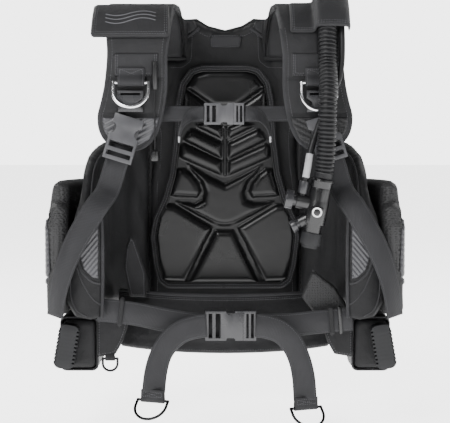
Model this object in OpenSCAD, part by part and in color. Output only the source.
// Buoyancy compensator vest, in millimetres.
// Origin: the tank's axis at the middle of the tank band. +Z is up, -Y is the open front of the vest,
// and -X is the wearer's right.

/* [Tank and back] */
// Outside diameter of the tank that the band clamps
tank_d = 184.2; // [170:0.1:184.2]
// Width of the tank band webbing
band_w = 50; // [40:1:52]
// Thickness of the back air cell
cell_t = 28; // [22:1:28]
// Thickness of the moulded back pad
pad_t = 24.5; // [12:0.5:24.5]

/* [Shoulders] */
// Radius of the shoulder arch at the middle of its padding
arch_r = 80; // [78:1:80]
// Thickness of the padded shoulder panels
panel_t = 14; // [10:1:14]
// Inside width of the shoulder D rings
d_ring_w = 50; // [46:1:50]

/* [Webbing] */
// Width of the waist and shoulder webbing
web_w = 38; // [34:1:38]
// Width of the sternum webbing
sternum_w = 25; // [20:1:25]
// Thickness of all webbing
web_t = 2; // [1.6:0.1:2]

/* [Inflator] */
// Outside diameter of the corrugated inflator hose
hose_d = 30; // [26:1:30]
// Outside diameter of the low pressure hose
lp_hose_d = 10; // [8:1:10]

/* [Hidden] */
$fn = 64;

tank_r = tank_d / 2;
band_t = 2.6;
band_gap = 0.5;          // clearance of the band in the backplate's slots
strap_z = 128;           // height of the thin upper tank strap
strap_band_w = 25;

plate_y = [-112, -97];   // backplate, front and rear faces
cell_y = [-113 - cell_t, -113];
pad_y = [cell_y[0] - 0.3 - pad_t, cell_y[0] - 0.3];
cell_bottom = -190;
cell_half_w = 134;

arch_y = -216;           // centre of the shoulder arch
arch_z = 300;
arch_in = arch_r - panel_t / 2;
arch_out = arch_r + panel_t / 2;
hose_line = arch_r + 15.5;     // the hose runs in a channel at this distance from the arch's axis
chest_y = arch_y - arch_out;   // front face of the shoulder panels
panel_x = [72, 196];     // inner and outer edge at the crest

lobe_c = [40, -295];     // centre of the side wings' curve, seen from above
lobe_r = [171, 211];
lobe_nose_y = -315;
pocket_r = [211.3, 249];

ring_x = 151;            // middle of a shoulder D ring
ring_z = 254;
ring_y = chest_y - 7;
wire_r = 3;

buckle_t = 12;
shoulder_u = 46;         // length unit of the shoulder buckle
waist_u = 38;
sternum_u = 30;
waist_z = -137;
waist_y = -319;          // rear face of the waist buckle
sternum_z = 204;
sternum_y = -285.9;
sternum_t = 9;
lean = 17;               // sideways lean of the lower shoulder buckle
pitch = 4;               // and its forward lean
swivel = [-152, -305, 201];

inflator_top = [155, -346, 100];
inflator_lean = 11;

// Route of the corrugated hose, from its elbow over the shoulder to the inflator
hose_route = [[164, -88, 318], [164, -91, 342], [164, -110, 363], [164, -138, 376], [164, -170, 388],
              [164, -216, 396], [164, -264, 383], [164, -299, 348], [164, -313, 310], [164, -320, 285],
              [164, -338, 250], [162, -350, 215], [160.5, -350, 160], [158, -346.5, 120],
              [155.4, -346, 102.3]];
hose_split = 9;          // the point where the hose bends as the inflator is lifted
// Route of the low pressure hose, from its first-stage fitting behind the back to the inflator
lp_route = [[187, -98, 100], [187, -98, 160], [188, -98, 230], [188, -98, 300], [188, -108, 342],
            [188, -134, 368], [188, -170, 385], [188, -216, 394], [188, -263, 382], [188, -298, 348],
            [188, -310, 310], [187, -313, 285], [183, -317, 262], [173, -322, 238], [160, -329, 212],
            [149, -332, 185], [136, -342, 145], [130.5, -346, 115], [125, -346, 87.5]];
lp_split = 11;
// Route of the lower shoulder strap, and the direction across it, below its buckle (wearer's right)
strap_route = [[-166.5, -307, 153.5], [-177, -309.5, 119], [-186.4, -311.5, 88], [-193, -324, 73],
               [-204, -336.5, 58], [-218, -342.5, 35], [-238, -344, 0], [-256, -341.5, -42], [-268, -338.5, -84],
               [-275, -336, -120]];
strap_across = [[0.956, -0.02, -0.292], [0.956, -0.02, -0.292], [0.956, -0.02, -0.292],
                [0.93, 0, -0.35], [0.92, 0.03, -0.38], [0.9, -0.05, -0.4], [0.9, -0.15, -0.4], [0.88, -0.2, -0.4], [0.86, -0.28, -0.35],
                [0.85, -0.32, -0.3]];
// Routes of the hanging webbing tails, and the direction across them
right_tail_route = [[-30, -333, -136], [-48, -335, -138], [-70, -338, -145], [-89, -341, -160],
                    [-103, -343, -182], [-111, -343, -210], [-115, -341, -238]];
left_tail_route = [[50, -333, -136], [68, -335, -138], [90, -338, -146], [107, -341, -163],
                   [119, -343, -188], [126, -343, -218], [129, -341, -250]];
tail_across = [[0, 0, 1], [0.2, 0, 1], [0.5, -0.1, 0.8], [0.7, -0.2, 0.6],
               [0.8, -0.3, 0.3], [0.9, -0.25, 0.1], [0.95, -0.2, 0]];
left_sternum_tail_route = [[33, -296.5, 204], [47, -298, 203], [60, -303, 195], [69, -306, 182], [73, -306, 168]];
right_sternum_tail_route = [[-34, -296.5, 204], [-48, -298, 203], [-61, -303, 195], [-70, -306, 182],
                            [-74, -306, 168]];
sternum_tail_across = [[0, 0, 1], [0.25, 0, 1], [0.7, 0, 0.7], [0.95, 0, 0.2], [1, 0, 0]];
cord_route = [[-113, -308, 250], [-113, -308, 210], [-113, -308, 175], [-113, -308, 145]];

// ---- helpers ----

// Draws its children on both sides of the vest.
module both() {
    children();
    mirror([1, 0, 0]) children();
}

// Extrudes an outline drawn in X and Z from y[0] to y[1].
module slab(y) {
    translate([0, y[1], 0]) rotate([90, 0, 0]) linear_extrude(y[1] - y[0]) children();
}

// Extrudes an outline drawn in Y and Z from x[0] to x[1].
module side_slab(x) {
    translate([x[0], 0, 0]) rotate([90, 0, 90]) linear_extrude(x[1] - x[0]) children();
}

// A block given by its lowest and highest corners.
module block(low, high) {
    translate(low) cube(high - low);
}

module rounded_rect(size, r) {
    for (x = [-1, 1], y = [-1, 1])
        translate([x * (size[0] / 2 - r), y * (size[1] / 2 - r)]) circle(r);
    square([size[0], size[1] - 2 * r], center = true);
    square([size[0] - 2 * r, size[1]], center = true);
}

// A point on the smooth curve through p, t of the way from point i to point i + 1.
function at(p, i, t) =
    let (a = p[max(i - 1, 0)], b = p[i], c = p[i + 1], d = p[min(i + 2, len(p) - 1)])
    0.5 * (2 * b + (c - a) * t + (2 * a - 5 * b + 4 * c - d) * t * t + (3 * b - a - 3 * c + d) * t * t * t);
function smooth(p, n) = [for (i = [0:len(p) - 2], k = [0:n - 1]) at(p, i, k / n), p[len(p) - 1]];
function unit(v) = v / norm(v);
function heading(p, i) = unit(p[min(i + 1, len(p) - 1)] - p[max(i - 1, 0)]);
function mirrored(p) = [for (q = p) [-q[0], q[1], q[2]]];

// A closed solid whose rings all have k points; the first and last ring are its ends.
module skin(rings) {
    k = len(rings[0]);
    n = len(rings);
    faces = concat(
        [[for (j = [0:k - 1]) j]],
        [for (i = [0:n - 2], j = [0:k - 1], half = [0, 1]) let (a = i * k, b = a + k, m = (j + 1) % k)
            half == 0 ? [a + m, a + j, b + j] : [a + m, b + j, b + m]],
        [[for (j = [0:k - 1]) n * k - 1 - j]]);
    polyhedron([for (r = rings, p = r) p], faces);
}

// A round tube of diameter d along a route that never runs along X, from one of the route's points
// to another. It starts a little short of the first one, where gap is the distance.
module tube(route, d, sides = 10, first = 0, last = 99, gap = 0, n = 2) {
    p = smooth(route, n);
    skin([for (i = [first * n:min(last * n, len(p) - 1)])
        let (h = heading(p, i), u = unit(cross(h, [1, 0, 0])), v = cross(h, u),
             c = p[i] + (i == first * n ? gap * h : [0, 0, 0]))
        [for (j = [0:sides - 1]) c + d / 2 * (u * cos(j * 360 / sides) + v * sin(j * 360 / sides))]]);
}

// Flat webbing of width w along a route; across gives its width direction at each point.
module ribbon(route, across, w, n = 3) {
    p = smooth(route, n);
    q = smooth(across, n);
    skin([for (i = [0:len(p) - 1])
        let (h = heading(p, i), side = unit(q[i] - h * (h * q[i])), up = cross(h, side),
             a = side * w / 2, b = up * web_t / 2)
        [p[i] + a + b, p[i] - a + b, p[i] - a - b, p[i] + a - b]]);
}

// ---- soft body ----

module cell_outline() {
    both() {
        polygon([[0, cell_bottom], [118, cell_bottom], [cell_half_w, cell_bottom + 16], [cell_half_w, 78],
                 [128, 120], [126, 165], [133, 205], [150, 236], [176, 262], [192, 280], [192, arch_z],
                 [panel_x[0], arch_z], [0, arch_z]]);
        // the collar, with the neckline cut into it
        difference() {
            polygon([[0, arch_z], [panel_x[0] - 0.3, arch_z], [panel_x[0] - 0.3, 366], [0, 366]]);
            translate([0, 409]) circle(62);
        }
    }
}

module back_air_cell() color([0.16, 0.16, 0.17]) slab(cell_y) cell_outline();

// The left wing seen from above: a curve from the back to a round front edge.
module lobe_plan() {
    intersection() {
        difference() {
            translate(lobe_c) circle(lobe_r[1]);
            translate(lobe_c) circle(lobe_r[0]);
        }
        translate([cell_half_w + 0.2, lobe_c[1]]) square([300, 300]);
    }
    translate([lobe_c[0] + lobe_r[0], lobe_nose_y]) square([lobe_r[1] - lobe_r[0], lobe_c[1] - lobe_nose_y]);
    translate([lobe_c[0] + (lobe_r[0] + lobe_r[1]) / 2, lobe_nose_y]) circle((lobe_r[1] - lobe_r[0]) / 2);
}

module lobe_side() {
    polygon([[-340, -112], [-326, -122], [-158, -122], [-118, -172], [-100, -172], [-100, 196], [-150, 176],
             [-205, 152], [-290, 138], [-322, 126], [-340, 104]]);
}

module air_cell_wings() color([0.15, 0.15, 0.16]) both()
    intersection() {
        translate([0, 0, -200]) linear_extrude(420) lobe_plan();
        side_slab([100, 300]) lobe_side();
    }

module back_pad() color([0.11, 0.11, 0.12]) slab(pad_y) both()
    polygon([[-1, 288], [-1, -98], [100, -98], [116, -86], [124, -58], [130, -8], [124, 24], [108, 60], [96, 103],
             [89, 158], [84, 226], [78, 258], [60, 282], [40, 288]]);

// The wide elastic waist belt, closed across the front.
belt_r = [245, 250];
belt_c = -40;
module cummerbund() color([0.17, 0.17, 0.18]) translate([0, belt_c, -190])
    rotate([0, 0, -90 - 47]) rotate_extrude(angle = 94)
        translate([belt_r[0], 0]) square([belt_r[1] - belt_r[0], 99]);

// Turns a section, drawn as distance from the shoulder arch's axis and -X, about that axis.
// Angle 0 is straight forward, and angles grow upwards.
module about_arch(low, high) {
    translate([0, arch_y, arch_z]) rotate([90, 0, -90]) rotate([0, 0, low])
        rotate_extrude(angle = high - low) children();
}

module panel_front_outline() {
    polygon([[panel_x[0] + 21, arch_z], [93, 250], [97, 215], [106, 180], [120, 156], [140, 145], [165, 145],
             [190, 156], [203, 175], [206, 200], [200, 225], [194, 255], [190, arch_z]]);
}

module shoulder_panel(channel = 0) color([0.18, 0.18, 0.19]) difference() {
    union() {
    // the arch over the shoulder, then the part down the chest
    translate([panel_x[0], arch_y, arch_z]) rotate([90, 0, 90]) difference() {
        cylinder(r = arch_out, h = panel_x[1] - panel_x[0]);
        translate([0, 0, -1]) cylinder(r = arch_in, h = 200);
        translate([-200, -400, -1]) cube([400, 400, 200]);
        // the inner edge runs outwards towards the front
        translate([-200, -1, -1]) rotate([0, 12, 0]) translate([0, 0, -60]) cube([160, 200, 60]);
    }
    slab([chest_y, chest_y + panel_t]) panel_front_outline();
    }
    // a channel over the shoulder for the inflator hose
    if (channel > 0) about_arch(-8, 188) translate([hose_line, -channel]) circle(hose_d / 2 + 1);
}

module right_shoulder_flap() color([0.2, 0.2, 0.21])
    about_arch(17, 64) translate([arch_out + 0.3, 88]) square([6, 129]);

// The flap that holds the hose down: an arch over the hose with a foot on each side.
module keeper_section() {
    top = hose_line + hose_d / 2 + 1.5;
    translate([arch_out + 0.3, 105]) square([4, 40]);
    difference() {
        translate([arch_out + 0.3, 142]) square([top + 3 - arch_out, 59]);
        translate([arch_out - 1, 146]) square([top - arch_out + 1, 51]);
    }
}
module hose_keeper_flap() color([0.2, 0.2, 0.21]) about_arch(22, 74) mirror([0, 1]) keeper_section();

// The side pocket's outer shell, in two tiers like a gusseted bag.
module pocket_plan(r1, nose) {
    intersection() {
        difference() {
            translate(lobe_c) circle(r1);
            translate(lobe_c) circle(pocket_r[0]);
        }
        polygon([lobe_c, [lobe_c[0] + 400, lobe_c[1]], [lobe_c[0] + 400, lobe_c[1] + 290]]);
    }
    translate([lobe_c[0] + pocket_r[0], lobe_c[1] - nose]) {
        translate([0, 8]) square([r1 - pocket_r[0], nose - 8]);
        square([r1 - pocket_r[0] - 8, nose]);
        translate([r1 - pocket_r[0] - 8, 8]) circle(8);
    }
}
module cargo_pockets() color([0.14, 0.14, 0.15]) both() {
    translate([0, 0, -123]) linear_extrude(143) pocket_plan(pocket_r[1], 34);
    translate([0, 0, 20]) linear_extrude(40) pocket_plan(pocket_r[1] - 2, 10);
    translate([0, 0, 60]) linear_extrude(36) pocket_plan(pocket_r[1] - 18, 9);
}

// Cloth that hangs from the wings' front edges beside the belt.
hip_ring_at = [-187, -310, -193.5];
module hip_panels() color([0.13, 0.13, 0.14]) {
    both() slab([-312, -308])
        polygon([[158, -123], [203, -123], [203, -191], [178, -186], [166, -165], [158, -140]]);
    translate(hip_ring_at) difference() {
        union() {
            translate([-8, 0, 0]) rotate([0, 90, 0]) cylinder(r = 4.35, h = 16);
            block([-8, -2, 0], [8, 2, 8]);
        }
        translate([-9, 0, 0]) rotate([0, 90, 0]) cylinder(r = 2.35, h = 18);
    }
}

sleeve_low = [206, -306, -215];
sleeve_high = [269, -150, -125];
sleeve_wall = 3;
module weight_sleeves() color([0.12, 0.12, 0.13]) both()
    difference() {
        block(sleeve_low, sleeve_high);
        block(sleeve_low + [sleeve_wall, -1, sleeve_wall], sleeve_high - sleeve_wall * [1, 1, 1]);
    }

module weight_pouch() color([0.13, 0.13, 0.14])
    block(sleeve_low + [sleeve_wall + 1, -2, sleeve_wall + 1], sleeve_high - (sleeve_wall + 1) * [1, 1, 1]);

// A moulded rubber grip with finger ribs down both edges.
grip = [[-16, 16], [-335, -308.3], [-70, 0]];
module weight_handle() color([0.2, 0.21, 0.22]) translate([250, 0, -136]) rotate([0, -10, 0])
    difference() {
        slab([-330, -308.3]) translate([0, -36]) rounded_rect([33, 72], 11);
        for (i = [0:8], side = [-1, 1])
            block([side > 0 ? 13 : -20, -331, -62 + i * 6.4], [side > 0 ? 20 : -13, -318, -59 + i * 6.4]);
        translate([0, -316, -36]) rotate([0, 0, 0]) block([-9, -2, -26], [9, 2, 26]);
    }

// ---- backplate and tank band ----

plate_z = [-110, 240];
lug_z = 252;
lug_y = -104.5;
rib_x = [38, 46];
module backplate() color([0.09, 0.09, 0.1]) {
    difference() {
        union() {
            slab(plate_y) difference() {
                translate([0, (plate_z[0] + plate_z[1]) / 2]) rounded_rect([140, plate_z[1] - plate_z[0]], 24);
                for (z = [-78, 65, 185]) translate([0, z]) rounded_rect([44, 46], 10);
            }
            both() block([rib_x[0], plate_y[1] - 1, plate_z[0] + 14], [rib_x[1], -78, plate_z[1] - 14]);
            both() block([52, -111, 230], [60, -98, 262]);
        }
        translate([0, 0, -200]) cylinder(r = tank_r + 1.5, h = 500);
        for (b = [[0, band_w], [strap_z, strap_band_w]])
            translate([0, 0, b[0] - b[1] / 2 - 1]) cylinder(r = tank_r + band_t + band_gap, h = b[1] + 2);
        translate([-70, lug_y, lug_z]) rotate([0, 90, 0]) cylinder(r = 3.05, h = 140);
    }
}

module tank_loop(w, t) difference() {
    cylinder(r = tank_r + t, h = w, center = true);
    cylinder(r = tank_r, h = w + 2, center = true);
}
module tank_band() color([0.12, 0.12, 0.12]) tank_loop(band_w, band_t);
module upper_tank_strap() color([0.12, 0.12, 0.12]) translate([0, 0, strap_z]) tank_loop(strap_band_w, 2);

// The cam buckle stands on the band at the rear left. Its frame: X along the band, Y outwards.
cam_angle = -35;
cam_pin_at = [-20, 10.5];
module on_band() rotate([0, 0, cam_angle]) translate([0, tank_r + band_t + 0.2, 0]) children();
module cam_buckle() color([0.1, 0.1, 0.11]) on_band() difference() {
    union() {
        block([-32, 0, -27], [32, 4, 27]);
        for (z = [-27, 24]) block([-30, 4, z], [-10, 17, z + 3]);
        block([24, 4, -20], [30, 6.5, 20]);
    }
    translate([cam_pin_at[0], cam_pin_at[1], -30]) cylinder(r = 2.5, h = 60);
}
module cam_pin() color([0.75, 0.75, 0.77]) on_band()
    translate([cam_pin_at[0], cam_pin_at[1], -27]) cylinder(r = 2.5, h = 54);
module cam_lever() color([0.14, 0.14, 0.15]) on_band() difference() {
    union() {
        translate([cam_pin_at[0], cam_pin_at[1], -23.5]) cylinder(r = 5.8, h = 47);
        block([cam_pin_at[0], 9, -23.5], [20, 14, 23.5]);
        block([18, 9, -18], [38, 13, 18]);
    }
    translate([cam_pin_at[0], cam_pin_at[1], -30]) cylinder(r = 2.56, h = 60);
    block([-8, 8, -12], [10, 15, 12]);
}

module carry_handle() color([0.1, 0.1, 0.1]) {
    both() {
        block([44, lug_y - 4, lug_z - 5], [50, lug_y + 4, lug_z + 34]);
        translate([49, lug_y, lug_z]) rotate([0, 90, 0]) cylinder(r = 2.98, h = 11);
    }
    translate([-50, lug_y, lug_z + 36]) rotate([0, 90, 0]) cylinder(r = 8, h = 100);
}

// ---- valves ----

module valve(r) {
    rotate([-90, 0, 0]) {
        cylinder(r = r, h = 5);
        translate([0, 0, 5]) cylinder(r = r - 4, h = 6);
        translate([0, 0, 11]) cylinder(r = r - 9, h = 4);
    }
}
module shoulder_dump_valve() color([0.1, 0.1, 0.11]) translate([-140, -113, 262]) valve(26);
rear_valve = [-98, -113, -128];
module rear_dump_valve() color([0.1, 0.1, 0.11]) difference() {
    translate(rear_valve) valve(26);
    translate(rear_valve + [0, 8, -40]) cylinder(r = 1.9, h = 36);
}
module rear_dump_toggle() color([0.3, 0.3, 0.31]) translate(rear_valve + [0, 8, 0]) {
    translate([0, 0, -58]) cylinder(r = 1.4, h = 50);
    translate([0, 0, -66]) cylinder(r = 7, h = 14);
}
module cord_tunnel() color([0.15, 0.15, 0.16]) translate([-113, -308, 243]) difference() {
    cylinder(r = 4.6, h = 44);
    translate([0, 0, -1]) cylinder(r = 2.2, h = 40);
}
module dump_cord() color([0.3, 0.3, 0.31]) tube(cord_route, 2.6, 8);
module dump_toggle() color([0.35, 0.35, 0.37]) translate([-113, -308, 128]) {
    cylinder(r = 7.5, h = 15);
    translate([0, 0, 15]) cylinder(r1 = 6.5, r2 = 4, h = 2, $fn = 64);
}

// ---- inflator ----

elbow = [164, -113, 282];
module hose_elbow() color([0.1, 0.1, 0.11]) {
    translate(elbow) rotate([-90, 0, 0]) {
        cylinder(r = 27, h = 5);
        translate([0, 0, 5]) cylinder(r = 19, h = 42);
        translate([0, 0, 44]) cylinder(r = 22, h = 7);
    }
    translate([elbow[0], -88, elbow[2] + 10]) cylinder(r = 14, h = 25.5);
}

module inflator_hose_upper() color([0.16, 0.16, 0.17]) tube(hose_route, hose_d, last = hose_split);
module inflator_hose_lower() color([0.16, 0.16, 0.17])
    tube(hose_route, hose_d, first = hose_split, gap = 0.4);
module lp_hose_upper() color([0.16, 0.16, 0.17]) tube(lp_route, lp_hose_d, 8, last = lp_split);
module lp_hose_lower() color([0.16, 0.16, 0.17])
    tube(lp_route, lp_hose_d, 8, first = lp_split, gap = 0.4);
module lp_hose_fitting() color([0.75, 0.75, 0.77]) translate([187, -98, 70]) {
    cylinder(r = 4.7, h = 9);
    translate([0, 0, 9]) cylinder(r = 8.5, h = 9, $fn = 6);
    translate([0, 0, 18]) cylinder(r = 6.5, h = 11.8);
}

// The inflator's frame: its top centre at the origin, its body down -Z.
module at_inflator() translate(inflator_top) rotate([0, inflator_lean, 0]) children();
port_z = -41;
low_port = [-12, 0, -66];
module hose_cuff() color([0.12, 0.12, 0.13]) at_inflator() {
    translate([0, 0, -14]) cylinder(r = 17.5, h = 13.8);
    translate([0, 0, -4]) cylinder(r = 18.2, h = 2);
}
module inflator_body() color([0.13, 0.13, 0.14]) at_inflator() difference() {
    union() {
        translate([0, 0, -37]) cylinder(r1 = 17.5, r2 = 16.5, h = 22.8);
        translate([0, 0, -72]) cylinder(r = 18, h = 35);
        translate([0, 0, -86]) cylinder(r = 14, h = 14);
        translate([-34, 0, port_z]) rotate([0, 90, 0]) cylinder(r = 11.5, h = 34);
        translate([-27, 0, port_z]) cylinder(r = 6, h = 19);
        translate(low_port) rotate([0, -130, 0]) cylinder(r = 10.5, h = 14);
        translate([0, -19, -52]) rotate([90, 0, 0]) cylinder(r = 9, h = 1.5);
        translate([-9, -19, -61]) cube([18, 8, 18]);
    }
    translate([-40, 0, port_z]) rotate([0, 90, 0]) cylinder(r = 8.2, h = 19);
    translate(low_port) rotate([0, -130, 0]) translate([0, 0, 6]) cylinder(r = 7.2, h = 12);
}
module mouthpiece() color([0.11, 0.11, 0.12]) at_inflator() {
    translate([0, 0, -106]) cylinder(r = 16.5, h = 19.8);
    translate([0, 0, -111]) cylinder(r = 13, h = 5);
}
module inflate_button() color([0.14, 0.14, 0.15]) at_inflator() translate([0, 0, port_z]) rotate([0, 90, 0]) {
    translate([0, 0, -52]) cylinder(r = 15, h = 12);
    translate([0, 0, -40]) cylinder(r = 8, h = 10);
}
module deflate_button() color([0.6, 0.6, 0.62]) at_inflator() translate(low_port) rotate([0, -130, 0]) {
    translate([0, 0, 19.5]) cylinder(r = 10, h = 9);
    translate([0, 0, 12]) cylinder(r = 7, h = 8);
}
module lp_coupling() color([0.75, 0.75, 0.77]) at_inflator() translate([-27, 0, 0]) difference() {
    translate([0, 0, -28]) cylinder(r = 8.4, h = 20);
    translate([0, 0, -29]) cylinder(r = 6.05, h = 22);
}

// ---- rings ----

// A D ring with its bar along X at the origin and its bow towards -Z.
module d_ring(w, depth, r) {
    m = w / 2 + r;
    arm = depth - m - r;
    translate([-m, 0, 0]) rotate([0, 90, 0]) cylinder(r = r, h = 2 * m);
    for (x = [-m, m]) translate([x, 0, 0]) {
        sphere(r);
        translate([0, 0, -arm]) cylinder(r = r, h = arm);
    }
    translate([0, 0, -arm]) rotate([90, 0, 0]) rotate([0, 0, 180]) rotate_extrude(angle = 180)
        translate([m, 0]) circle(r);
}

module webbing_loop(w, r, back) difference() {
    union() {
        translate([-w / 2, 0, 0]) rotate([0, 90, 0]) cylinder(r = r + 0.35 + web_t, h = w);
        block([-w / 2, 0, -r - 2], [w / 2, back, r + 2]);
    }
    translate([-w / 2 - 1, 0, 0]) rotate([0, 90, 0]) cylinder(r = r + 0.35, h = w + 2);
}

module d_ring_webbing() color([0.15, 0.15, 0.16]) both() {
    translate([ring_x, ring_y, ring_z]) webbing_loop(d_ring_w - 6, wire_r, -ring_y + chest_y - 0.3);
    // sewn patch above, and the loop that holds the buckle's yoke below
    block([ring_x - 22, chest_y - 2.3, ring_z + 5], [ring_x + 22, chest_y - 0.3, ring_z + 24]);
}

shoulder_ring_depth = 48;
ring_tilt_right = 30;
ring_tilt_left = 11;
module shoulder_d_ring(x, tilt) color([0.8, 0.8, 0.82]) translate([x, ring_y, ring_z]) rotate([-tilt, 0, 0])
    d_ring(d_ring_w, shoulder_ring_depth, wire_r);

// ---- buckles ----
// Their frame: the mouth at the origin, the body towards -X, the tongue from +X, front at -Y.

module buckle_body(w, u, t) {
    h = w + 10;
    difference() {
        block([-0.95 * u, -t, -h / 2], [0, 0, h / 2]);
        block([-0.8 * u, -t + 2.4, -h / 2 + 3], [1, -2.4, h / 2 - 3]);
        for (s = [-1, 1]) translate([-0.52 * u, -t - 1, s * (h / 2 + 1)]) rotate([-90, 0, 0])
            cylinder(r = 0.2 * u, h = t + 2);
    }
    for (s = [-1, 1]) block([-1.6 * u, -t, s > 0 ? w / 2 + 0.8 : -h / 2],
                            [-0.95 * u, 0, s > 0 ? h / 2 : -w / 2 - 0.8]);
    for (x = [-1.6, -1.3]) block([x * u, -t, -h / 2 + 1], [(x + 0.14) * u, -t + 4, h / 2 - 1]);
}

module buckle_prongs(w, u, t) {
    h = w + 10;
    for (s = [-1, 1]) block([-0.74 * u, -t + 3, s > 0 ? h / 2 - 9.5 : -h / 2 + 3.6],
                            [1, -3, s > 0 ? h / 2 - 3.6 : -h / 2 + 9.5]);
    block([-0.45 * u, -t + 3.4, -2.5], [1, -3.4, 2.5]);
}

module buckle_tongue(w, u, t) {
    h = w + 10;
    buckle_prongs(w, u, t);
    block([0.4, -t, -h / 2], [0.14 * u, -3.2, h / 2]);
    for (s = [-1, 1]) block([0.14 * u, -t, s > 0 ? w / 2 + 0.8 : -h / 2],
                            [0.56 * u, 0, s > 0 ? h / 2 : -w / 2 - 0.8]);
    for (x = [0.24, 0.46]) block([x * u, -t, -h / 2 + 1], [(x + 0.1) * u, -t + 4, h / 2 - 1]);
}

// The lower shoulder buckle's frame on the wearer's right: -X of the buckle points down the strap.
module at_shoulder_buckle() translate(swivel) rotate([-pitch, 0, 0]) rotate([0, 90 + lean, 0]) mirror([1, 0, 0])
    children();

module shoulder_buckle() color([0.42, 0.42, 0.44]) at_shoulder_buckle() translate([-3, 0, 0])
    buckle_body(web_w, shoulder_u, buckle_t);

// The yoke hangs from its webbing loop and carries the prongs on a swivel.
module shoulder_yokes() color([0.42, 0.42, 0.44]) both() {
    translate([-152, 0, 0]) slab([-314, -304.5]) difference() {
        polygon([[-21, 241], [21, 241], [21, 229], [12, 223], [12, 217], [20, 213], [20, 207], [-20, 207],
                 [-20, 213], [-12, 217], [-12, 223], [-21, 229]]);
        translate([-16, 234]) square([32, 3.5]);
    }
    at_shoulder_buckle() translate([-3, 0, 0]) buckle_prongs(web_w, shoulder_u, buckle_t);
}

module shoulder_straps() color([0.2, 0.2, 0.21]) both()
    ribbon(strap_route, strap_across, web_w);

sternum_x = 14;
module at_sternum() translate([sternum_x, sternum_y, sternum_z]) children();
module sternum_buckle_body() color([0.45, 0.45, 0.44]) at_sternum() buckle_body(sternum_w, sternum_u, sternum_t);
module sternum_buckle_tongue() color([0.45, 0.45, 0.44]) at_sternum()
    buckle_tongue(sternum_w, sternum_u, sternum_t);
module sternum_straps() color([0.19, 0.19, 0.2]) {
    y = [sternum_y - 2.8, sternum_y - 2.8 + web_t];
    for (x = [[-116, sternum_x - 1.02 * sternum_u], [sternum_x + 0.2 * sternum_u, 116]])
        slab(y) translate([x[0], sternum_z - sternum_w / 2]) square([x[1] - x[0], sternum_w]);
}
// A tail of sternum webbing with an oval loop on its end.
module sternum_tail(side) color([0.19, 0.19, 0.2]) {
    route = side < 0 ? right_sternum_tail_route : left_sternum_tail_route;
    ribbon(route, side < 0 ? mirrored(sternum_tail_across) : sternum_tail_across, sternum_w);
    translate(route[len(route) - 1]) difference() {
        block([-14, -2.5, -9], [14, 2.5, 0.3]);
        block([-9.5, -3, -6], [9.5, 3, -2.5]);
    }
}

waist_x = 29;
module at_waist() translate([waist_x, waist_y, waist_z]) children();
module waist_buckle_body() color([0.38, 0.38, 0.4]) at_waist() buckle_body(web_w, waist_u, buckle_t);
module waist_buckle_tongue() color([0.38, 0.38, 0.4]) at_waist() buckle_tongue(web_w, waist_u, buckle_t);
module waist_straps() color([0.25, 0.25, 0.26]) {
    y = [waist_y - 2.8, waist_y - 2.8 + web_t];
    low = waist_z - web_w / 2;
    // each half: its sewn end, where it levels out, and its end in the buckle
    for (p = [[[-206, -131], [-40, low], [waist_x - 1.02 * waist_u, low]],
              [[206, -146], [98, low], [waist_x + 0.2 * waist_u, low]]])
        slab(y) polygon([p[0], p[1], p[2], p[2] + [0, web_w], p[1] + [0, web_w], p[0] + [0, web_w]]);
}

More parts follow.
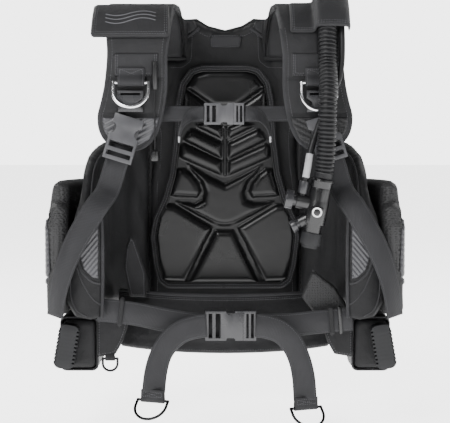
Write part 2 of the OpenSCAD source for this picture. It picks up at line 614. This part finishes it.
// A tail's end: webbing turned round the ring's bar and sewn into a cuff.
cuff_turn = 20;          // the cuffs face a little outwards
module at_cuff(side) translate(side < 0 ? [-116, -341, -256] : [130, -341, -268])
    rotate([0, 0, side * cuff_turn]) children();
module tail_end(side) at_cuff(side) difference() {
    block([-web_w / 2 - 1.5, -3.2, side < 0 ? -3.6 : -3.6], [web_w / 2 + 1.5, 3.2, side < 0 ? 17.6 : 17.6]);
    translate([-40, 0, 0]) rotate([0, 90, 0]) cylinder(r = 2.35, h = 80);
}
module right_waist_tail() color([0.22, 0.22, 0.23]) {
    ribbon(right_tail_route, mirrored(tail_across), web_w);
    tail_end(-1);
}
module left_waist_tail() color([0.22, 0.22, 0.23]) {
    ribbon(left_tail_route, tail_across, web_w);
    tail_end(1);
}
waist_ring_depth = 40;
module waist_ring(side) color([0.08, 0.08, 0.08]) at_cuff(side) rotate([-50, 0, 0])
    d_ring(d_ring_w - 2, waist_ring_depth, 2.25);
module hip_ring() color([0.08, 0.08, 0.08]) translate(hip_ring_at) d_ring(20, 22, 2);

back_air_cell();
air_cell_wings();
back_pad();
cummerbund();
mirror([1, 0, 0]) shoulder_panel();  // right_shoulder_panel
shoulder_panel(channel = 164);  // left_shoulder_panel
right_shoulder_flap();
hose_keeper_flap();
cargo_pockets();
hip_panels();
weight_sleeves();
mirror([1, 0, 0]) weight_pouch();  // right_weight_pouch
weight_pouch();  // left_weight_pouch
mirror([1, 0, 0]) weight_handle();  // right_weight_handle
weight_handle();  // left_weight_handle
backplate();
tank_band();
cam_buckle();
cam_pin();
cam_lever();
upper_tank_strap();
carry_handle();
shoulder_dump_valve();
cord_tunnel();
dump_cord();
dump_toggle();
rear_dump_valve();
rear_dump_toggle();
hose_elbow();
inflator_hose_upper();
inflator_hose_lower();
hose_cuff();
inflator_body();
inflate_button();
deflate_button();
mouthpiece();
lp_hose_upper();
lp_hose_lower();
lp_hose_fitting();
lp_coupling();
d_ring_webbing();
shoulder_d_ring(-ring_x, ring_tilt_right);  // right_shoulder_d_ring
shoulder_d_ring(ring_x, ring_tilt_left);  // left_shoulder_d_ring
shoulder_yokes();
shoulder_buckle();  // right_shoulder_buckle
mirror([1, 0, 0]) shoulder_buckle();  // left_shoulder_buckle
shoulder_straps();
sternum_straps();
sternum_tail(-1);  // right_sternum_tail
sternum_tail(1);  // left_sternum_tail
sternum_buckle_body();
sternum_buckle_tongue();
waist_straps();
waist_buckle_body();
waist_buckle_tongue();
right_waist_tail();
left_waist_tail();
waist_ring(-1);  // right_waist_ring
waist_ring(1);  // left_waist_ring
hip_ring();
